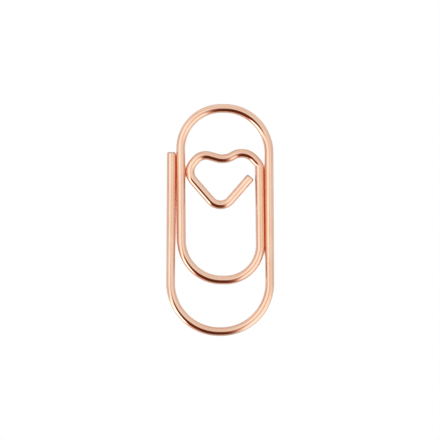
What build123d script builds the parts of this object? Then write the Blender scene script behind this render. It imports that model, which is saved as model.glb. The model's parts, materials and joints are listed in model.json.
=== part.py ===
"""Paper clip with a heart: one plated steel wire bent flat into an outer loop, an inner loop and a heart.

The clip lies on Z = 0 with its crown toward +Y, and the origin is under the middle of its length and width.
The wire is built as its bend list: straight runs and bends in order from one cut end to the other.
"""

import os
from math import atan2, cos, degrees, radians, sin
from typing import NamedTuple, Optional

from build123d import *

os.makedirs("parts", exist_ok=True)

# Wire, and the broken edge of its cut ends
WIRE_DIAMETER = 1.1
CUT_EDGE_CHAMFER = 0.12

# Whole clip, over the outside of the wire
CLIP_LENGTH = 29.0
CLIP_WIDTH = 13.5

# Least gaps: between neighbouring legs, between heart and inner leg, and between the tail's end and the stem
LEG_GAP = 0.06
HEART_GAP = 0.08
TAIL_GAP = 0.1

# Clear heights: from heart to crown, and from the inner bend to the lower bend
CROWN_WINDOW = 4.5
LOWER_WINDOW = 5.35

# Distance from the top of the clip down to the outer cut end
OUTER_END_DROP = 6.0

# How far each leg leans inward: the inner leg from its top to its foot, the others from foot to top
BACK_LEG_LEAN = 0.1
OUTER_LEG_LEAN = 0.1
INNER_LEG_LEAN = 0.1
STEM_LEAN = 0.12

# Each U-bend is two quarter bends with a short flat between them, and its turning point is the flat's middle
LOWER_FLAT = 0.2
CROWN_FLAT = 0.4
INNER_FLAT = 0.5

# How far a turning point lies to the right of the middle of its two legs
CROWN_TURN_SHIFT = -0.22
INNER_TURN_SHIFT = 0.27

# Headings along the wire, in degrees from +X
EAST_DEG = 0
NORTH_DEG = 90
WEST_DEG = 180
SOUTH_DEG = 270
HALF_TURN_DEG = 180
FULL_TURN_DEG = 360

# Heading of the wire after each bend of the heart, in order from the stem
HEART_HEADINGS_DEG = {
    "heart_shoulder": 132,
    "heart_right_lobe": 208,
    "heart_cleft": 164,
    "heart_left_lobe": 230,
    "heart_left_corner": 311,
    "heart_point": 409,
}
# Radius of each bend of the heart, and the straight run after it, as shares of the heart's width
HEART_RADIUS_SHARES = {
    "heart_shoulder": 0.11,
    "heart_right_lobe": 0.24,
    "heart_cleft": 0.28,
    "heart_left_lobe": 0.195,
    "heart_left_corner": 0.2,
    "heart_point": 0.19,
}
HEART_RUN_SHARES = {
    "heart_shoulder": 0.075,
    "heart_right_lobe": 0.04,
    "heart_cleft": 0.115,
    "heart_left_lobe": 0.05,
}
LEFT_FLANK_SHARE = 0.38


class Stroke(NamedTuple):
    """One straight or one arc of the wire's middle line. A straight has no tangent."""

    start: Vector
    end: Vector
    tangent: Optional[Vector] = None


def heading_vector(heading):
    """Unit vector along a heading."""
    return Vector(cos(radians(heading)), sin(radians(heading)))


def heading_between(start, end):
    """Heading of the straight from start to end, from zero up to a full turn."""
    return degrees(atan2(end.Y - start.Y, end.X - start.X)) % FULL_TURN_DEG


def unit_arc(start_heading, end_heading):
    """Where the end of an arc of unit radius lies from its start. A heading that grows is a left turn."""
    along = sin(radians(end_heading)) - sin(radians(start_heading))
    across = cos(radians(start_heading)) - cos(radians(end_heading))
    left_turn = end_heading > start_heading
    return Vector(along, across) if left_turn else Vector(-along, -across)


def point_at_height(start, end, height):
    """Point at a given Y on the straight through start and end."""
    return start + (end - start) * ((height - start.Y) / (end.Y - start.Y))


def bend_onto_flat(start, heading, turn, flat_heading):
    """A quarter bend off a leg's end, then half of the flat, up to the turning point."""
    arc = unit_arc(heading, flat_heading)
    flat = heading_vector(flat_heading)
    step = turn - start
    radius = (step.X * flat.Y - step.Y * flat.X) / (arc.X * flat.Y - arc.Y * flat.X)
    bend_end = start + arc * radius
    return [Stroke(start, bend_end, heading_vector(heading)), Stroke(bend_end, turn)]


def bend_off_flat(turn, flat_heading, end, heading):
    """Half of the flat from the turning point, then a quarter bend onto a leg's end."""
    way_back, _ = bend_onto_flat(end, heading + HALF_TURN_DEG, turn, flat_heading + HALF_TURN_DEG)
    bend_start = way_back.end
    return [Stroke(turn, bend_start), Stroke(bend_start, end, heading_vector(flat_heading))]


# Middle line of the wire: lines down the outer legs, and the places that follow from them
wire_radius = WIRE_DIAMETER / 2
leg_pitch = WIRE_DIAMETER + LEG_GAP
half_width = CLIP_WIDTH / 2 - wire_radius
half_length = CLIP_LENGTH / 2 - wire_radius
outer_end = Vector(-half_width + OUTER_LEG_LEAN, CLIP_LENGTH / 2 - OUTER_END_DROP)
back_top_x = half_width - BACK_LEG_LEAN
inner_top_x = outer_end.X + leg_pitch
inner_foot_x = inner_top_x + INNER_LEG_LEAN
stem_line_x = half_width - leg_pitch

# Turning points of the three U-bends
lower_turn = Vector(0, -half_length)
crown_turn = Vector((inner_top_x + back_top_x) / 2 + CROWN_TURN_SHIFT, half_length)
inner_turn = Vector(
    (inner_foot_x + stem_line_x) / 2 + INNER_TURN_SHIFT,
    lower_turn.Y + WIRE_DIAMETER + LOWER_WINDOW,
)

# Ends of the legs, each one quarter bend away from its turning point
lower_rise = half_width - LOWER_FLAT / 2
outer_foot = Vector(-half_width, lower_turn.Y + lower_rise)
back_foot = Vector(half_width, lower_turn.Y + lower_rise)
back_top = Vector(back_top_x, crown_turn.Y - (back_top_x - crown_turn.X - CROWN_FLAT / 2))
inner_top = Vector(inner_top_x, crown_turn.Y - (crown_turn.X - inner_top_x - CROWN_FLAT / 2))
inner_foot = Vector(inner_foot_x, inner_turn.Y + (inner_turn.X - inner_foot_x - INNER_FLAT / 2))
stem_foot_y = inner_turn.Y + (stem_line_x - inner_turn.X - INNER_FLAT / 2)
stem_foot = Vector(point_at_height(back_foot, back_top, stem_foot_y).X - leg_pitch, stem_foot_y)
stem_top_x = stem_foot.X - STEM_LEAN

# The heart fills the width from the stem to the inner leg, and its right lobe stands below the crown
lobe_y = crown_turn.Y - WIRE_DIAMETER - CROWN_WINDOW
heart_side_x = point_at_height(inner_top, inner_foot, lobe_y).X + WIRE_DIAMETER + HEART_GAP
reach = Vector(0, 0)
arriving = NORTH_DEG
for bend, leaving in HEART_HEADINGS_DEG.items():
    radius_share = HEART_RADIUS_SHARES[bend]
    if bend == "heart_right_lobe":
        lobe_reach = reach + unit_arc(arriving, WEST_DEG) * radius_share
    if bend == "heart_left_corner":
        side_reach = reach + unit_arc(arriving, SOUTH_DEG) * radius_share
    reach += unit_arc(arriving, leaving) * radius_share
    reach += heading_vector(leaving) * HEART_RUN_SHARES.get(bend, 0)
    arriving = leaving
heart_width = (heart_side_x - stem_top_x) / side_reach.X
stem_top = Vector(stem_top_x, lobe_y - lobe_reach.Y * heart_width)

# Bend list of the two loops, in order from the outer cut end
outer_heading = heading_between(outer_end, outer_foot)
back_heading = heading_between(back_foot, back_top)
inner_heading = heading_between(inner_top, inner_foot)
stem_heading = heading_between(stem_foot, stem_top)
runs = {
    "outer_leg": [Stroke(outer_end, outer_foot)],
    "lower_bend_left": bend_onto_flat(outer_foot, outer_heading, lower_turn, FULL_TURN_DEG),
    "lower_bend_right": bend_off_flat(lower_turn, EAST_DEG, back_foot, back_heading),
    "back_leg": [Stroke(back_foot, back_top)],
    "crown_right": bend_onto_flat(back_top, back_heading, crown_turn, WEST_DEG),
    "crown_left": bend_off_flat(crown_turn, WEST_DEG, inner_top, inner_heading),
    "inner_leg": [Stroke(inner_top, inner_foot)],
    "inner_bend_left": bend_onto_flat(inner_foot, inner_heading, inner_turn, FULL_TURN_DEG),
    "inner_bend_right": bend_off_flat(inner_turn, EAST_DEG, stem_foot, stem_heading),
    "heart_stem": [Stroke(stem_foot, stem_top)],
}

# Bend list of the heart: each bend with the short run after it, and its long left flank by itself
pen = stem_top
arriving = stem_heading
for bend, leaving in HEART_HEADINGS_DEG.items():
    bend_end = pen + unit_arc(arriving, leaving) * (HEART_RADIUS_SHARES[bend] * heart_width)
    runs[bend] = [Stroke(pen, bend_end, heading_vector(arriving))]
    pen = bend_end
    if bend in HEART_RUN_SHARES:
        pen = bend_end + heading_vector(leaving) * (HEART_RUN_SHARES[bend] * heart_width)
        runs[bend].append(Stroke(bend_end, pen))
    if bend == "heart_left_corner":
        pen = bend_end + heading_vector(leaving) * (LEFT_FLANK_SHARE * heart_width)
        runs["heart_left_flank"] = [Stroke(bend_end, pen)]
    arriving = leaving

# The tail stops where the lower corner of its cut end is the tail gap away from the stem
tail_direction = heading_vector(arriving)
tail_end_x = stem_top.X - wire_radius - TAIL_GAP - wire_radius * tail_direction.Y
tail_end = pen + tail_direction * ((tail_end_x - pen.X) / tail_direction.X)
runs["heart_tail"] = [Stroke(pen, tail_end)]

# Each run is the round wire swept along its strokes, with the edge of a cut end broken
lift = Vector(0, 0, wire_radius)
cut_ends = {"outer_leg": outer_end, "heart_tail": tail_end}
for name, strokes in runs.items():
    with BuildPart() as run:
        with BuildLine() as middle_line:
            for stroke in strokes:
                if stroke.tangent is None:
                    Line(stroke.start + lift, stroke.end + lift)
                else:
                    TangentArc(stroke.start + lift, stroke.end + lift, tangent=stroke.tangent)
        with BuildSketch(Plane(origin=middle_line.line @ 0, z_dir=middle_line.line % 0)):
            Circle(wire_radius)
        sweep()
        if name in cut_ends:
            cut_edge = run.edges().filter_by(GeomType.CIRCLE).sort_by_distance(cut_ends[name] + lift)[0]
            chamfer(cut_edge, length=CUT_EDGE_CHAMFER)
    run.part.label = name
    export_step(run.part, f"parts/{name}.step")
    print(name, "volume", round(run.part.volume, 3), "mm3", "from Z", round(run.part.bounding_box().min.Z, 4))
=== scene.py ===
# %% [markdown]
# # A heart paper clip, modelled as it is bent
# The clip is one length of bright rose-gold wire that lies flat on a white table. The photograph looks
# straight down on it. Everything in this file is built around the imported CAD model, in metres and in its
# frame, so a piece that follows a CAD node lies where that node lies.

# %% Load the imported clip
import json
import math

import bmesh
import bpy
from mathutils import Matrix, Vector


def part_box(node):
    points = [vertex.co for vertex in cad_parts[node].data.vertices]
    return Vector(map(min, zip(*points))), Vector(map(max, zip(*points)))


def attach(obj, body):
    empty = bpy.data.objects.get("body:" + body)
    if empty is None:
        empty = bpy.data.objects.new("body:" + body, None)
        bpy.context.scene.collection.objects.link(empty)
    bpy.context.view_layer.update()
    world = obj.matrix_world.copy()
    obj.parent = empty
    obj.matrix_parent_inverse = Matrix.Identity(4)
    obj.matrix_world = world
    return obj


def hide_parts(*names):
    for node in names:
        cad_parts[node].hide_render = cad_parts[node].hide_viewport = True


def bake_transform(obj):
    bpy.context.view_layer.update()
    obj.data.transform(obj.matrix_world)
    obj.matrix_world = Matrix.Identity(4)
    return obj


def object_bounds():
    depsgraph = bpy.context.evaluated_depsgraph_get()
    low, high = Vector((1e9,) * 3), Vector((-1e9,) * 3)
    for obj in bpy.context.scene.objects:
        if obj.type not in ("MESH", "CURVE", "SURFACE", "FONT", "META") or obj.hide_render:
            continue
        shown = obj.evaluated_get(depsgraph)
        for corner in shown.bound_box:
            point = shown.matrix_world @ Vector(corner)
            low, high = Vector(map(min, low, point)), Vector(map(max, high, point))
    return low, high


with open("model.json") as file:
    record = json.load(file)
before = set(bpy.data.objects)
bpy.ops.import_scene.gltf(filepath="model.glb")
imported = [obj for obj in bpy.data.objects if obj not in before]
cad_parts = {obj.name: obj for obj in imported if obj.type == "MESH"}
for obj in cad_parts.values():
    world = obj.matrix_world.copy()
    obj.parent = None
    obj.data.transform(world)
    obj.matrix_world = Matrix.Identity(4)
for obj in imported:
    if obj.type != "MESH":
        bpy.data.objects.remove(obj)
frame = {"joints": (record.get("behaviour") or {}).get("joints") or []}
cad_low, cad_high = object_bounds()
MM = 0.001
print("CAD box in mm:", [round(side / MM, 2) for side in cad_high - cad_low])

# %% [markdown]
# ## The camera
# The photograph shows no side of anything, only the plan of the clip, so the camera hangs straight
# above it with +Y up in the picture. A wide lens close by would show the wire's inner sides near the
# frame's edge, and the photograph doesn't, so this is a long lens from far away. Its height follows from
# the scale of the photograph: how many pixels wide one millimetre of the clip is.

# %% Camera
PHOTO_SIDE_PX = 440
PX_PER_MM = 8.0
CLIP_RIGHT_OF_CENTRE_PX = 0.2
LENS_MM = 200
SENSOR_MM = 36
NEAREST_SEEN_SHARE = 0.1

wire_diameter = cad_high.z - cad_low.z
wire_radius = wire_diameter / 2
wire_z = cad_low.z + wire_radius
view_width = PHOTO_SIDE_PX / PX_PER_MM * MM
camera_distance = view_width * LENS_MM / SENSOR_MM
bpy.ops.object.select_all(action="DESELECT")
camera_x = -CLIP_RIGHT_OF_CENTRE_PX / PX_PER_MM * MM
bpy.ops.object.camera_add(location=(camera_x, 0, wire_z + camera_distance), rotation=(0, 0, 0))
camera = bpy.context.object
camera.name = "overhead_camera"
camera.data.lens = LENS_MM
camera.data.sensor_width = SENSOR_MM
camera.data.clip_start = camera_distance * NEAREST_SEEN_SHARE
bpy.context.scene.camera = camera
print("camera hangs", round(camera_distance / MM), "mm above a view", round(view_width / MM), "mm wide")

# %% [markdown]
# ## The straight runs
# A wire-forming machine knows two moves: it feeds the wire straight on, and it bends it round a pin. So
# the clip can be measured as a bend list. The straight runs are read from the boxes of their CAD nodes:
# the box of a round bar is its middle line plus the wire's radius, shared out between the sides by the
# bar's slope. That slope isn't known before the length is, so the two are worked out together in a few
# rounds. Reading the frame, and not repeating its numbers, keeps this file right if the CAD model changes
# a little.

# %% Measure the straight runs
SLOPE_ROUNDS = 20


def straight_run(node, starts_right, starts_high):
    """First and last point of a straight run's middle line, in the order in which the wire is fed."""
    low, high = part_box(node)
    span = (high - low).xy
    run = span.copy()
    for _ in range(SLOPE_ROUNDS):
        run = span - wire_diameter * run.normalized().yx
    step = Vector((-run.x if starts_right else run.x, -run.y if starts_high else run.y))
    middle = ((low + high) / 2).xy
    return middle - step / 2, middle + step / 2


outer_end, outer_foot = straight_run("outer_leg", starts_right=True, starts_high=True)
back_foot, back_top = straight_run("back_leg", starts_right=True, starts_high=False)
inner_top, inner_foot = straight_run("inner_leg", starts_right=False, starts_high=True)
stem_foot, stem_top = straight_run("heart_stem", starts_right=True, starts_high=False)
flank_top, flank_foot = straight_run("heart_left_flank", starts_right=False, starts_high=True)
print("wire of", round(wire_diameter / MM, 2), "mm")
for name, start, end in (("outer leg", outer_end, outer_foot), ("back leg", back_foot, back_top)):
    print(name, "is", round((end - start).length / MM, 2), "mm long")

# %% [markdown]
# ## The U-bends
# Each U-bend is two quarter bends with a short flat between them, and the joint of the CAD model sits in
# the middle of that flat. The radius of a quarter bend and its half of the flat follow from the leg's
# end, the leg's heading and the joint's place: going along the bend and then along the flat has to arrive
# at the joint. All three are left-hand turns, so a heading only ever grows along them.

# %% Bend list of the U-bends
QUARTER_TURN = math.pi / 2


def along(heading):
    """Unit vector along a heading, which is an angle from +X."""
    return Vector((math.cos(heading), math.sin(heading)))


def heading_between(start, end):
    """Heading of the straight from start to end, from zero up to a full turn."""
    return math.atan2(end.y - start.y, end.x - start.x) % math.tau


def unit_arc(heading, new_heading):
    """Where the end of an arc of unit radius lies from its start."""
    forward = math.sin(new_heading) - math.sin(heading)
    sideways = math.cos(heading) - math.cos(new_heading)
    return Vector((forward, sideways)) * math.copysign(1, new_heading - heading)


def quarter_bend(leg_end, leg_heading, joint, flat_heading):
    """Radius of the bend off a leg, and length of the flat after it, that arrive at the joint."""
    arc, flat, step = unit_arc(leg_heading, flat_heading), along(flat_heading), joint - leg_end
    return step.cross(flat) / arc.cross(flat), arc.cross(step) / arc.cross(flat)


def u_bend(leg_end, leg_heading, joint, next_leg, next_heading):
    """Moves of a U-bend from the end of one leg, past its joint, to the start of the next leg."""
    flat_heading = round(leg_heading / QUARTER_TURN) * QUARTER_TURN + QUARTER_TURN
    leaving = next_heading if next_heading > flat_heading else next_heading + math.tau
    radius_in, flat_in = quarter_bend(leg_end, leg_heading, joint, flat_heading)
    radius_out, flat_out = quarter_bend(next_leg, leaving + math.pi, joint, flat_heading + math.pi)
    return [
        ("bend", radius_in, flat_heading - leg_heading),
        ("feed", flat_in + flat_out),
        ("bend", radius_out, leaving - flat_heading),
    ]


joint_place = {joint["name"]: Vector(joint["pos_m"]).xy for joint in frame["joints"]}
outer_heading = heading_between(outer_end, outer_foot)
back_heading = heading_between(back_foot, back_top)
inner_heading = heading_between(inner_top, inner_foot)
stem_heading = heading_between(stem_foot, stem_top)
lower_moves = u_bend(outer_foot, outer_heading, joint_place["outer_arm_spring"], back_foot, back_heading)
crown_moves = u_bend(back_top, back_heading, joint_place["inner_loop_spring"], inner_top, inner_heading)
inner_moves = u_bend(inner_foot, inner_heading, joint_place["heart_spring"], stem_foot, stem_heading)
for name, moves in (("lower", lower_moves), ("crown", crown_moves), ("inner", inner_moves)):
    radius_in, flat, radius_out = (round(move[1] / MM, 2) for move in moves)
    print(name, "bend in mm: radius", radius_in, "flat", flat, "radius", radius_out)

# %% [markdown]
# ## The heart
# The heart is six free bends one after the other, with short straight runs between them. A box can't tell
# a bend's radius from its angle, so these are given as a table of the wire's heading after each bend,
# with radius and run as shares of the heart's width. The width itself is read from the frame: the long
# left flank is a known share of it. The tail then goes on until its cut end nearly meets the stem.

# %% Bend list of the heart
FLANK_SHARE = 0.38
HEART_BENDS = [
    # Bend, heading after it in degrees, radius share, share of the straight run after it
    ("shoulder", 132, 0.11, 0.075),
    ("right lobe", 208, 0.24, 0.04),
    ("cleft", 164, 0.28, 0.115),
    ("left lobe", 230, 0.195, 0.05),
    ("left corner", 311, 0.2, FLANK_SHARE),
    ("point", 409, 0.19, 0),
]
TAIL_GAP = 0.1 * MM

heart_width = (flank_foot - flank_top).length / FLANK_SHARE
pen, heading = stem_top.copy(), stem_heading
heart_moves = []
for name, degrees, radius_share, run_share in HEART_BENDS:
    new_heading = math.radians(degrees)
    radius, run = radius_share * heart_width, run_share * heart_width
    heart_moves += [("bend", radius, new_heading - heading), ("feed", run)]
    pen += unit_arc(heading, new_heading) * radius
    if name == "left corner":
        print("flank starts", round((pen - flank_top).length / MM, 4), "mm from its CAD node's start")
    pen += along(new_heading) * run
    heading = new_heading
tail_heading = heading
tail = along(tail_heading)
tail_end_x = stem_top.x - wire_radius - TAIL_GAP - wire_radius * tail.y
tail_length = (tail_end_x - pen.x) / tail.x
heart_moves[-1] = ("feed", tail_length)
print("heart is", round(heart_width / MM, 2), "mm wide and its tail", round(tail_length / MM, 2), "mm long")

# %% [markdown]
# ## Feeding and bending a ring
# A bent wire could be a curve with a round bevel, but then its cut ends and its seams would be out of
# reach. Here a ring of the wire's size is treated as the machine treats the wire: extrude feeds it
# straight on, and spin takes it round a pin. The rings stay square to the wire, so no bend is pinched,
# and the ends are closed with one face each. Spin needs the pin's place, which lies to the left of the
# wire for a left-hand bend, and its angle counts the other way round, so the turn is negated.

# %% Form a piece of wire
RING_POINTS = 64
BEND_STEP = math.radians(3)
SMOOTH_UP_TO = math.radians(40)


def form_wire(name, start, heading, moves):
    """Makes a closed piece of wire by feeding and bending a ring, and returns it with its strokes."""
    bpy.ops.object.select_all(action="DESELECT")
    bpy.ops.mesh.primitive_circle_add(
        vertices=RING_POINTS, radius=wire_radius, fill_type="NOTHING",
        location=(start.x, start.y, wire_z), rotation=(QUARTER_TURN, 0, heading + QUARTER_TURN),
    )
    piece = bpy.context.object
    piece.name = piece.data.name = name
    bpy.ops.object.transform_apply(location=True, rotation=True, scale=True)
    bpy.ops.object.mode_set(mode="EDIT")
    bpy.ops.mesh.select_mode(type="EDGE")
    bpy.ops.mesh.select_all(action="SELECT")
    pen, strokes = start.copy(), []
    for kind, *size in moves:
        if kind == "feed":
            length = size[0]
            step = along(heading) * length
            bpy.ops.mesh.extrude_region_move(TRANSFORM_OT_translate={"value": (step.x, step.y, 0)})
            strokes.append({"start": pen.copy(), "heading": heading, "length": length, "turn": 0})
            pen += step
        else:
            radius, turn = size
            pin = pen + along(heading + math.copysign(QUARTER_TURN, turn)) * radius
            steps = math.ceil(abs(turn) / BEND_STEP)
            bpy.ops.mesh.spin(steps=steps, angle=-turn, center=(pin.x, pin.y, wire_z), axis=(0, 0, 1))
            strokes.append({"start": pen.copy(), "heading": heading, "length": radius * abs(turn),
                            "turn": turn, "pin": pin, "radius": radius})
            pen += unit_arc(heading, heading + turn) * radius
            heading += turn
    bpy.ops.mesh.edge_face_add()
    bpy.ops.mesh.select_all(action="DESELECT")
    bpy.ops.mesh.select_non_manifold()
    bpy.ops.mesh.edge_face_add()
    bpy.ops.mesh.select_all(action="SELECT")
    bpy.ops.mesh.normals_make_consistent(inside=False)
    bpy.ops.object.mode_set(mode="OBJECT")
    bpy.ops.object.shade_smooth_by_angle(angle=SMOOTH_UP_TO)
    print(name, "ends", pen / MM, "points", len(piece.data.vertices))
    return piece, strokes


# %% [markdown]
# ## Where the pieces part
# The real wire has no seams. The model needs some, because a straight leg moves with one CAD body while a
# U-bend lies between two. A seam where a bend begins would show as a kink in the reflections, so every
# U-bend takes a short straight lead of each leg with it, and the seams lie where the wire is straight on
# both sides.

# %% Form the legs, the U-bends and the heart
LEAD = 0.5 * MM


def leg(start, end, heading, leads_before, leads_after):
    """Start, heading and moves of a leg, without the leads that belong to its U-bends."""
    length = (end - start).length - (leads_before + leads_after) * LEAD
    return start + along(heading) * leads_before * LEAD, heading, [("feed", length)]


def bend_with_leads(leg_end, heading, moves):
    """Start, heading and moves of a U-bend with a lead on each side of it."""
    return leg_end - along(heading) * LEAD, heading, [("feed", LEAD), *moves, ("feed", LEAD)]


stem_start, _, stem_moves = leg(stem_foot, stem_top, stem_heading, 1, 0)
wire_pieces = {
    "outer_leg_wire": leg(outer_end, outer_foot, outer_heading, 0, 1),
    "lower_bend_wire": bend_with_leads(outer_foot, outer_heading, lower_moves),
    "back_leg_wire": leg(back_foot, back_top, back_heading, 1, 1),
    "crown_wire": bend_with_leads(back_top, back_heading, crown_moves),
    "inner_leg_wire": leg(inner_top, inner_foot, inner_heading, 1, 1),
    "inner_bend_wire": bend_with_leads(inner_foot, inner_heading, inner_moves),
    "heart_wire": (stem_start, stem_heading, stem_moves + heart_moves),
}
pieces, strokes_of = {}, {}
for name, (start, heading, moves) in wire_pieces.items():
    pieces[name], strokes_of[name] = form_wire(name, start, heading, moves)

# %% [markdown]
# ## The two cut ends
# The wire is sheared off at both ends, and the clips are then tumbled together until nothing scratches
# paper, so in the photograph both ends look like a rounded stub with a small flat left in the middle. A
# bevel round the closing face gives the rounding. The flat that is left is inset and pushed in a little,
# as a shear leaves it.

# %% Round the cut ends
CUT_EDGE_RADIUS = 0.25 * MM
CUT_EDGE_STEPS = 6
CUT_RIM = 0.07 * MM
CUT_DISH = 0.02 * MM
NEAR = 0.02 * MM
LOOKS_STRAIGHT_OUT = 0.99


def select_end_face(piece, middle, outward):
    """Selects the one flat face that closes the piece at a cut end, in edit mode."""
    bpy.ops.mesh.select_all(action="DESELECT")
    mesh = bmesh.from_edit_mesh(piece.data)
    for face in mesh.faces:
        offset = (face.calc_center_median() - middle).dot(outward)
        face.select_set(abs(offset) < NEAR and face.normal.dot(outward) > LOOKS_STRAIGHT_OUT)
    bmesh.update_edit_mesh(piece.data)


def round_cut_end(piece, middle, heading):
    """Rounds the edge of a cut end that looks along the heading, and dishes its flat."""
    end = Vector((middle.x, middle.y, wire_z))
    outward = along(heading).to_3d()
    bpy.ops.object.select_all(action="DESELECT")
    bpy.context.view_layer.objects.active = piece
    piece.select_set(True)
    bpy.ops.object.mode_set(mode="EDIT")
    bpy.ops.mesh.select_mode(type="FACE")
    select_end_face(piece, end, outward)
    bpy.ops.mesh.bevel(offset=CUT_EDGE_RADIUS, segments=CUT_EDGE_STEPS, affect="EDGES")
    select_end_face(piece, end, outward)
    bpy.ops.mesh.inset(thickness=CUT_RIM)
    bpy.ops.transform.translate(value=outward * -CUT_DISH)
    flat = bmesh.from_edit_mesh(piece.data)
    count = sum(face.select for face in flat.faces)
    bpy.ops.object.mode_set(mode="OBJECT")
    bpy.ops.object.shade_smooth_by_angle(angle=SMOOTH_UP_TO)
    print(piece.name, "has", count, "flat end face and", len(piece.data.polygons), "faces in all")


tail_run = strokes_of["heart_wire"][-1]
tail_tip = tail_run["start"] + tail * tail_run["length"]
cut_places = {
    "outer_leg_wire": (outer_end, outer_heading + math.pi),
    "heart_wire": (tail_tip, tail_heading),
}
for name, (middle, heading) in cut_places.items():
    round_cut_end(pieces[name], middle, heading)

# %% [markdown]
# ## Remembering the straight wire
# The fine lines on drawn wire were there before it was bent, so they follow it round every bend. No
# coordinate of the finished shape does that. So each point of a piece is given an attribute: where it was
# while the wire was still straight, as distance along it, offset to its left, and height. A second
# attribute marks the inside of each bend, where the wire was pressed against the forming pin.

# %% Store the straight wire's places
PIN_RUB_SHARPNESS = 3


def place_on_stroke(stroke, point):
    """A point's miss of a stroke's middle line, its run along it, offset to its left, and rub by the pin."""
    if stroke["turn"] == 0:
        offset = point - stroke["start"]
        run = min(max(offset.dot(along(stroke["heading"])), 0), stroke["length"])
        left = offset.dot(along(stroke["heading"] + QUARTER_TURN))
        miss = (offset - along(stroke["heading"]) * run).length
        return miss, run, left, 0
    side = math.copysign(1, stroke["turn"])
    spoke = point - stroke["pin"]
    first_spoke = heading_between(stroke["pin"], stroke["start"])
    swept = (heading_between(stroke["pin"], point) - first_spoke) * side
    swept = (swept + math.pi) % math.tau - math.pi
    share = min(max(swept / abs(stroke["turn"]), 0), 1)
    nearest = stroke["pin"] + along(first_spoke + share * stroke["turn"]) * stroke["radius"]
    inward = stroke["radius"] - spoke.length
    rub = max(inward / wire_radius, 0) ** PIN_RUB_SHARPNESS * math.sin(math.pi * share)
    return (point - nearest).length, share * stroke["length"], inward * side, rub


fed = 0
for name, piece in pieces.items():
    places, rubs, starts = [], [], []
    for stroke in strokes_of[name]:
        starts.append(fed)
        fed += stroke["length"]
    for vertex in piece.data.vertices:
        found = [place_on_stroke(stroke, vertex.co.xy) for stroke in strokes_of[name]]
        nearest = min(range(len(found)), key=lambda i: found[i][0])
        _, run, left, rub = found[nearest]
        places += [starts[nearest] + run, left, vertex.co.z - wire_z]
        rubs.append(rub)
    piece.data.attributes.new("straight_wire", "FLOAT_VECTOR", "POINT").data.foreach_set("vector", places)
    piece.data.attributes.new("pin_rub", "FLOAT", "POINT").data.foreach_set("value", rubs)
print("the straight wire was", round(fed / MM, 1), "mm long")

# %% [markdown]
# ## Effects for the metal
# Three effects make up the surface of the wire, each a small node group. Drawn lines are noise stretched
# along the straight wire. The plating cloud is a slow change of tone and gloss, as thin plating has.
# Shear marks are the torn stripes across a cut face. The groups give out masks only, and the shader
# decides what to do with them.

# %% Node helpers
def add_node(tree, kind, place, **settings):
    """Adds a node at a place in the editor and sets its properties."""
    node = tree.nodes.new(kind)
    node.location = place
    for key, value in settings.items():
        setattr(node, key, value)
    return node


def new_effect(name, inputs, outputs):
    """An empty node group with named sockets, its input node and its output node."""
    group = bpy.data.node_groups.new(name, "ShaderNodeTree")
    for socket, kind in inputs:
        group.interface.new_socket(socket, in_out="INPUT", socket_type=kind)
    for socket, kind in outputs:
        group.interface.new_socket(socket, in_out="OUTPUT", socket_type=kind)
    group_in = add_node(group, "NodeGroupInput", (-600, 0))
    group_out = add_node(group, "NodeGroupOutput", (600, 0))
    return group, group_in, group_out


def stretched_noise(tree, vector, stretch, detail, place):
    """Noise whose grain is stretched by a scale along each axis, per metre."""
    scale = add_node(tree, "ShaderNodeVectorMath", place, operation="MULTIPLY")
    scale.inputs[1].default_value = stretch
    noise = add_node(tree, "ShaderNodeTexNoise", (place[0] + 200, place[1]))
    noise.inputs["Scale"].default_value = 1
    noise.inputs["Detail"].default_value = detail
    tree.links.new(vector, scale.inputs[0])
    tree.links.new(scale.outputs["Vector"], noise.inputs["Vector"])
    return noise.outputs["Fac"]


def remap(tree, value, low, high, new_low, new_high, place):
    """Maps a range of a value smoothly onto another range."""
    node = add_node(tree, "ShaderNodeMapRange", place, interpolation_type="SMOOTHSTEP")
    limits = {"From Min": low, "From Max": high, "To Min": new_low, "To Max": new_high}
    for socket, number in limits.items():
        node.inputs[socket].default_value = number
    tree.links.new(value, node.inputs["Value"])
    return node.outputs["Result"]


print("helpers for nodes are ready")

# %% Node groups
LINES_STRETCH = (150, 26000, 26000)
LINES_DETAIL = 2
LINES_FROM, LINES_TO = 0.35, 0.7
CLOUD_STRETCH = (350, 900, 900)
CLOUD_DETAIL = 3
CLOUD_FROM, CLOUD_TO = 0.3, 0.7
SHEAR_STRETCH = (7500, 7500, 30000)
SHEAR_DETAIL = 4
SHEAR_FROM, SHEAR_TO = 0.35, 0.65


def noise_effect(name, place_name, mask_name, stretch, detail, low, high):
    """A node group that makes a mask from stretched noise between two levels."""
    group, group_in, group_out = new_effect(
        name, [(place_name, "NodeSocketVector")], [(mask_name, "NodeSocketFloat")]
    )
    noise = stretched_noise(group, group_in.outputs[place_name], stretch, detail, (-400, 0))
    group.links.new(remap(group, noise, low, high, 0, 1, (100, 0)), group_out.inputs[mask_name])
    return group


drawn_lines = noise_effect(
    "drawn_lines", "Straight Wire", "Lines", LINES_STRETCH, LINES_DETAIL, LINES_FROM, LINES_TO
)
plating_cloud = noise_effect(
    "plating_cloud", "Straight Wire", "Cloud", CLOUD_STRETCH, CLOUD_DETAIL, CLOUD_FROM, CLOUD_TO
)
shear_marks = noise_effect("shear_marks", "Place", "Marks", SHEAR_STRETCH, SHEAR_DETAIL, SHEAR_FROM, SHEAR_TO)
print("effects:", [group.name for group in bpy.data.node_groups])

# %% [markdown]
# ## Rose-gold plating
# The plating is a bright alloy of gold and copper over steel: all of its colour is in its reflections, so
# it is a metal with a pale copper tone. Where the plating runs thin, and where the forming pins rubbed
# it, the tone is a shade more coppery and the gloss a shade softer. The drawn lines only just lift the
# surface.

# %% Plating material
PLATING_TONE = (0.94, 0.65, 0.49, 1)
THIN_TONE = (0.92, 0.59, 0.43, 1)
GLOSS_LOW, GLOSS_HIGH = 0.05, 0.11
LINE_HEIGHT = 0.0006 * MM
LINE_STRENGTH = 0.2


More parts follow.
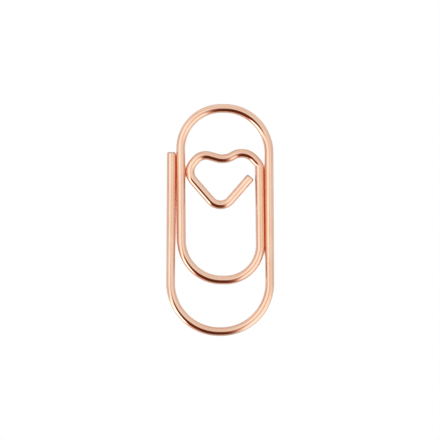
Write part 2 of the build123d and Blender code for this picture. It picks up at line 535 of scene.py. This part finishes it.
def new_material(name):
    """A metallic material, its node tree and its Principled shader."""
    material = bpy.data.materials.new(name)
    material.use_nodes = True
    shader = material.node_tree.nodes["Principled BSDF"]
    shader.inputs["Metallic"].default_value = 1
    return material, material.node_tree, shader


def place_effect(tree, group, place):
    """Places a node group in a material."""
    return add_node(tree, "ShaderNodeGroup", place, node_tree=group)


def tone_mix(tree, factor, first, second, place):
    """Mixes two tones by a mask."""
    mix = add_node(tree, "ShaderNodeMix", place, data_type="RGBA")
    mix.inputs["A"].default_value = first
    mix.inputs["B"].default_value = second
    tree.links.new(factor, mix.inputs["Factor"])
    return mix.outputs["Result"]


plating, tree, shader = new_material("rose_gold_plating")
wire_place = add_node(tree, "ShaderNodeAttribute", (-1200, 0), attribute_name="straight_wire")
rub = add_node(tree, "ShaderNodeAttribute", (-1200, -300), attribute_name="pin_rub")
lines = place_effect(tree, drawn_lines, (-1000, 200))
cloud = place_effect(tree, plating_cloud, (-1000, 0))
for effect in (lines, cloud):
    tree.links.new(wire_place.outputs["Vector"], effect.inputs["Straight Wire"])
worn = add_node(tree, "ShaderNodeMath", (-800, -100), operation="MAXIMUM", use_clamp=True)
tree.links.new(cloud.outputs["Cloud"], worn.inputs[0])
tree.links.new(rub.outputs["Fac"], worn.inputs[1])
tone = tone_mix(tree, worn.outputs["Value"], PLATING_TONE, THIN_TONE, (-400, 200))
tree.links.new(tone, shader.inputs["Base Color"])
softness = add_node(tree, "ShaderNodeMath", (-600, -100), operation="ADD", use_clamp=True)
tree.links.new(worn.outputs["Value"], softness.inputs[0])
tree.links.new(lines.outputs["Lines"], softness.inputs[1])
gloss = remap(tree, softness.outputs["Value"], 0, 1, GLOSS_LOW, GLOSS_HIGH, (-400, -100))
tree.links.new(gloss, shader.inputs["Roughness"])
bump = add_node(tree, "ShaderNodeBump", (-300, -400))
bump.inputs["Strength"].default_value = LINE_STRENGTH
bump.inputs["Distance"].default_value = LINE_HEIGHT
tree.links.new(lines.outputs["Lines"], bump.inputs["Height"])
tree.links.new(bump.outputs["Normal"], shader.inputs["Normal"])
print("plating nodes:", len(tree.nodes))

# %% [markdown]
# ## The sheared faces
# On a cut end the plating is thin and torn: grey steel shows through in stripes across the face, and in
# the photograph its rounded edge is a grey cap at the end of the wire. This is a second material, given
# to the flat that the bevel left and to the part of the bevel that looks along the wire.

# %% Sheared face material
STEEL_TONE = (0.42, 0.40, 0.39, 1)
SHEARED_GLOSS_LOW, SHEARED_GLOSS_HIGH = 0.25, 0.5
LOOKS_ALONG = 0.3
END_REACH = 1.2 * wire_radius

sheared, tree, shader = new_material("sheared_wire_end")
place = add_node(tree, "ShaderNodeTexCoord", (-1000, 0))
marks = place_effect(tree, shear_marks, (-800, 0))
tree.links.new(place.outputs["Object"], marks.inputs["Place"])
tone = tone_mix(tree, marks.outputs["Marks"], PLATING_TONE, STEEL_TONE, (-400, 200))
tree.links.new(tone, shader.inputs["Base Color"])
gloss = remap(tree, marks.outputs["Marks"], 0, 1, SHEARED_GLOSS_LOW, SHEARED_GLOSS_HIGH, (-400, -100))
tree.links.new(gloss, shader.inputs["Roughness"])
for piece in pieces.values():
    piece.data.materials.append(plating)
for name, (middle, heading) in cut_places.items():
    piece = pieces[name]
    piece.data.materials.append(sheared)
    outward = along(heading).to_3d()
    end = Vector((middle.x, middle.y, wire_z))
    for face in piece.data.polygons:
        offset = face.center - end
        on_this_end = offset.length < END_REACH and abs(offset.dot(outward)) < CUT_EDGE_RADIUS
        if on_this_end and face.normal.dot(outward) > LOOKS_ALONG:
            face.material_index = 1
    print(name, "has", sum(face.material_index for face in piece.data.polygons), "sheared faces")

# %% [markdown]
# ## Riding on the CAD bodies
# A straight leg moves with its one body, and so does the heart. A U-bend is the spring of the clip: the
# real wire twists a little all along it. Here each U-bend, with its leads, keeps the place it was formed in,
# baked into its mesh, and its CAD nodes are hidden like the others.

# %% Ride and replace
HEART_NODES = ["heart_stem", "heart_shoulder", "heart_right_lobe", "heart_cleft", "heart_left_lobe",
               "heart_left_corner", "heart_left_flank", "heart_point", "heart_tail"]
riders = {
    "outer_leg_wire": ("outer_arm", ["outer_leg"]),
    "back_leg_wire": ("outer_loop", ["back_leg"]),
    "inner_leg_wire": ("inner_loop", ["inner_leg"]),
    "heart_wire": ("heart", HEART_NODES),
}
springs = {
    "lower_bend_wire": ("outer_loop", "outer_arm", back_foot, outer_foot),
    "crown_wire": ("outer_loop", "inner_loop", back_top, inner_top),
    "inner_bend_wire": ("inner_loop", "heart", inner_foot, stem_foot),
}
spring_nodes = {
    "lower_bend_wire": ["lower_bend_left", "lower_bend_right"],
    "crown_wire": ["crown_right", "crown_left"],
    "inner_bend_wire": ["inner_bend_left", "inner_bend_right"],
}
for name, (body, nodes) in riders.items():
    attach(pieces[name], body)
    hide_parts(*nodes)
for name, (body, other_body, leg_end, other_end) in springs.items():
    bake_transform(pieces[name])
    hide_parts(*spring_nodes[name])
print("riding:", sorted(riders), "blended:", sorted(springs))

# %% [markdown]
# ## The table
# The clip lies on a plain white table that the photograph shows as pure white, because it is overexposed.
# The edges of the wire tell more: they mirror the table as a soft grey, and where two wires nearly touch,
# light that bounces between them fills the gap with orange. A plain floor would leave those gaps black,
# and it would hide a loop that bends below it. So the metal sees a pale board with a soft gloss and a
# glow, as a light table has, and the camera looks through the board to a backdrop that is just as white.
# Ambient occlusion finds the narrow gaps, and there the board is painted orange to both: painted shade and
# bounce light.

# %% Table
TABLE_SIDE = 1.2
BOARD_TONE = (0.35, 0.35, 0.35, 1)
BOARD_ROUGHNESS = 0.15
BOARD_MIRROR = 0.3
BOARD_GLOW = 0.42
SHADE_REACH = 1.5 * MM
SHADE_SAMPLES = 48
# Painted shade and bounce light: where the board sees little sky it is painted orange-red, and in the open it
# is white
PAINTED_GAP_TONES = [
    # How much of the sky a place on the board sees, and how it looks
    (0.13, (0.5, 0.05, 0.008, 1)),
    (0.16, (0.85, 0.45, 0.25, 1)),
    (0.19, (1, 0.95, 0.88, 1)),
    (0.22, (1, 1, 1, 1)),
]
CLEAR_FROM, CLEAR_TO = 0.22, 0.27


def tone_steps(tree, factor, steps, place):
    """A tone that changes along a value, by a list of values with their tones."""
    ramp = add_node(tree, "ShaderNodeValToRGB", place)
    points = ramp.color_ramp.elements
    points.remove(points[0])
    points[0].position, points[0].color = steps[0]
    for value, tone in steps[1:]:
        points.new(value).color = tone
    tree.links.new(factor, ramp.inputs["Fac"])
    return ramp.outputs["Color"]


bpy.ops.object.select_all(action="DESELECT")
bpy.ops.mesh.primitive_plane_add(size=TABLE_SIDE, location=(0, 0, cad_low.z))
table = bpy.context.object
table.name = "white_table"
print("table", TABLE_SIDE, "m wide at height", cad_low.z)

# %% Board material
board = bpy.data.materials.new("white_board")
board.use_nodes = True
tree = board.node_tree
mirrored = tree.nodes["Principled BSDF"]
mirrored.inputs["Base Color"].default_value = BOARD_TONE
mirrored.inputs["Roughness"].default_value = BOARD_ROUGHNESS
mirrored.inputs["Metallic"].default_value = BOARD_MIRROR
seen = add_node(tree, "ShaderNodeLightPath", (-200, 500))
shade = add_node(tree, "ShaderNodeAmbientOcclusion", (-400, -500), samples=SHADE_SAMPLES)
shade.inputs["Distance"].default_value = SHADE_REACH
exposed = add_node(tree, "ShaderNodeEmission", (200, -500))
painted_gap_tone = tone_steps(tree, shade.outputs["AO"], PAINTED_GAP_TONES, (-200, -500))
tree.links.new(painted_gap_tone, exposed.inputs["Color"])
clear = remap(tree, shade.outputs["AO"], CLEAR_FROM, CLEAR_TO, 0, 1, (-200, -800))
see_through = add_node(tree, "ShaderNodeBsdfTransparent", (200, -800))
overexposed = add_node(tree, "ShaderNodeMixShader", (400, -600))
tree.links.new(clear, overexposed.inputs["Fac"])
tree.links.new(exposed.outputs["Emission"], overexposed.inputs[1])
tree.links.new(see_through.outputs["BSDF"], overexposed.inputs[2])
pick = add_node(tree, "ShaderNodeMixShader", (500, 300))
tree.links.new(seen.outputs["Is Camera Ray"], pick.inputs["Fac"])
# The glow is painted light that the wire sees and the camera doesn't, and in the gaps it takes the painted
# orange
glow = add_node(tree, "ShaderNodeEmission", (200, -300))
glow.inputs["Strength"].default_value = BOARD_GLOW
tree.links.new(painted_gap_tone, glow.inputs["Color"])
glowing = add_node(tree, "ShaderNodeAddShader", (300, 0))
tree.links.new(mirrored.outputs["BSDF"], glowing.inputs[0])
tree.links.new(glow.outputs["Emission"], glowing.inputs[1])
tree.links.new(glowing.outputs["Shader"], pick.inputs[1])
tree.links.new(overexposed.outputs["Shader"], pick.inputs[2])
tree.links.new(pick.outputs["Shader"], tree.nodes["Material Output"].inputs["Surface"])
table.data.materials.append(board)
print("board nodes:", len(tree.nodes))

# %% [markdown]
# ## The light
# Bright metal shows the room it lies in. The stripes along this wire say what the room was: a white tent
# all round, a strong light at the front left, a softer one at the front right, and between them a dark
# gap that reaches up to the camera and draws the red-brown stripe along every bend's front side. Lamps
# would leave black between their glints, so the tent is painted into the world: soft round patches for
# the lights, darker ones for the side walls, and a wedge for the gap, whose edges turn warm before they
# turn dark. The camera itself sees plain white. Light between two wires bounces many times, so Cycles
# gets more glossy bounces than it has by default.

# %% Tent and lights
TENT = 0.82
LIGHTS = [
    # Name; in degrees, compass angle from +X, angle from straight up, full out to, gone at; added strength
    ("front left, low", 226, 90, 18, 30, 2.0),
    ("front left, high", 208, 58, 6, 16, 0.6),
    ("front right", 313, 66, 15, 42, 0.42),
    ("high left", 176, 32, 14, 42, 0.42),
    ("high right", 350, 25, 10, 40, 0.14),
    ("back", 90, 96, 10, 28, 0.1),
    ("left wall", 178, 80, 10, 34, -0.2),
    ("right wall", 5, 90, 10, 40, -0.12),
    ("camera", 90, 4, 3, 20, -0.08),
]

world = bpy.data.worlds.new("white_tent")
bpy.context.scene.world = world
world.use_nodes = True
tree = world.node_tree
tree.nodes.clear()
look = add_node(tree, "ShaderNodeTexCoord", (-1400, 0)).outputs["Generated"]


def toward(direction, place):
    """How far the look goes along a direction, from minus one to one."""
    node = add_node(tree, "ShaderNodeVectorMath", place, operation="DOT_PRODUCT")
    node.inputs[1].default_value = direction
    tree.links.new(look, node.inputs[0])
    return node.outputs["Value"]


def left_of(compass, place):
    """How far the look goes to the left of a compass angle, from minus one to one."""
    return toward(along(math.radians(compass) + QUARTER_TURN).to_3d(), place)


def combine(operation, first, second, place):
    """One number from two sockets or numbers."""
    node = add_node(tree, "ShaderNodeMath", place, operation=operation)
    for socket, value in zip(node.inputs, (first, second)):
        if isinstance(value, (int, float)):
            socket.default_value = value
        else:
            tree.links.new(value, socket)
    return node.outputs["Value"]


def cosine(degrees):
    """Cosine of an angle in degrees."""
    return math.cos(math.radians(degrees))


strength = TENT
for row, (_, compass, tilt, full, fade, added) in enumerate(LIGHTS):
    level = along(math.radians(compass)) * math.sin(math.radians(tilt))
    facing = toward((level.x, level.y, cosine(tilt)), (-1200, 200 * row))
    patch = remap(tree, facing, cosine(fade), cosine(full), 0, added, (-1000, 200 * row))
    strength = combine("ADD", strength, patch, (-800, 200 * row))
print("tent with", len(LIGHTS), "patches of light")

# %% The dark gap
GAP_LEFT, GAP_FRONT, GAP_MIDDLE, GAP_RIGHT = 206, 250, 262, 288
GAP_DIMMING = [
    # How far inside the gap, and what is left of the tent's light there
    (0, (1, 1, 1, 1)),
    (0.35, (0.68, 0.52, 0.48, 1)),
    (0.65, (0.36, 0.17, 0.13, 1)),
    (1, (0.13, 0.036, 0.018, 1)),
]
# Where each border of the gap fades, measured across that border from minus one to one
PAST_CAMERA = (-0.16, -0.02)
AFTER_LEFT = (-0.06, 0.03)
BEFORE_RIGHT = (-0.17, 0.17)
NEAR_MIDDLE = (-0.55, -0.42)
ABOVE_FLOOR = (-0.05, 0.3)
LOW_GAP_SHARE = 0.6

front = toward(along(math.radians(GAP_FRONT)).to_3d(), (-1200, -100))
past_camera = remap(tree, front, *PAST_CAMERA, 0, 1, (-800, -100))
after_left = remap(tree, left_of(GAP_LEFT, (-1200, -300)), *AFTER_LEFT, 0, 1, (-800, -300))
before_right = remap(tree, left_of(GAP_RIGHT, (-1200, -500)), *BEFORE_RIGHT, 1, 0, (-800, -500))
near_middle = remap(tree, left_of(GAP_MIDDLE, (-1200, -700)), *NEAR_MIDDLE, 0, 1, (-800, -700))
above = remap(tree, toward((0, 0, 1), (-1200, -900)), *ABOVE_FLOOR, LOW_GAP_SHARE, 1, (-800, -900))
gap_mask = past_camera
for row, limit in enumerate((after_left, before_right, near_middle, above)):
    gap_mask = combine("MULTIPLY", gap_mask, limit, (-600, -200 - 200 * row))
print("gap from", GAP_LEFT, "to", GAP_RIGHT, "degrees")

# %% World
BACKDROP_TONE = (1, 1, 1, 1)
GLOSSY_BOUNCES = 12

tent_colour = add_node(tree, "ShaderNodeCombineColor", (-400, 0))
for channel in tent_colour.inputs:
    tree.links.new(strength, channel)
room = add_node(tree, "ShaderNodeMix", (-200, 0), data_type="RGBA", blend_type="MULTIPLY")
room.inputs["Factor"].default_value = 1
tree.links.new(tent_colour.outputs["Color"], room.inputs["A"])
tree.links.new(tone_steps(tree, gap_mask, GAP_DIMMING, (-400, -300)), room.inputs["B"])
seen = add_node(tree, "ShaderNodeLightPath", (-200, 300))
backdrop = add_node(tree, "ShaderNodeMix", (0, 0), data_type="RGBA")
backdrop.inputs["B"].default_value = BACKDROP_TONE
tree.links.new(seen.outputs["Is Camera Ray"], backdrop.inputs["Factor"])
tree.links.new(room.outputs["Result"], backdrop.inputs["A"])
sky = add_node(tree, "ShaderNodeBackground", (200, 0))
out = add_node(tree, "ShaderNodeOutputWorld", (400, 0))
tree.links.new(backdrop.outputs["Result"], sky.inputs["Color"])
tree.links.new(sky.outputs["Background"], out.inputs["Surface"])
bpy.context.scene.view_settings.view_transform = "Standard"
bpy.context.scene.cycles.glossy_bounces = GLOSSY_BOUNCES
print("world nodes:", len(tree.nodes))
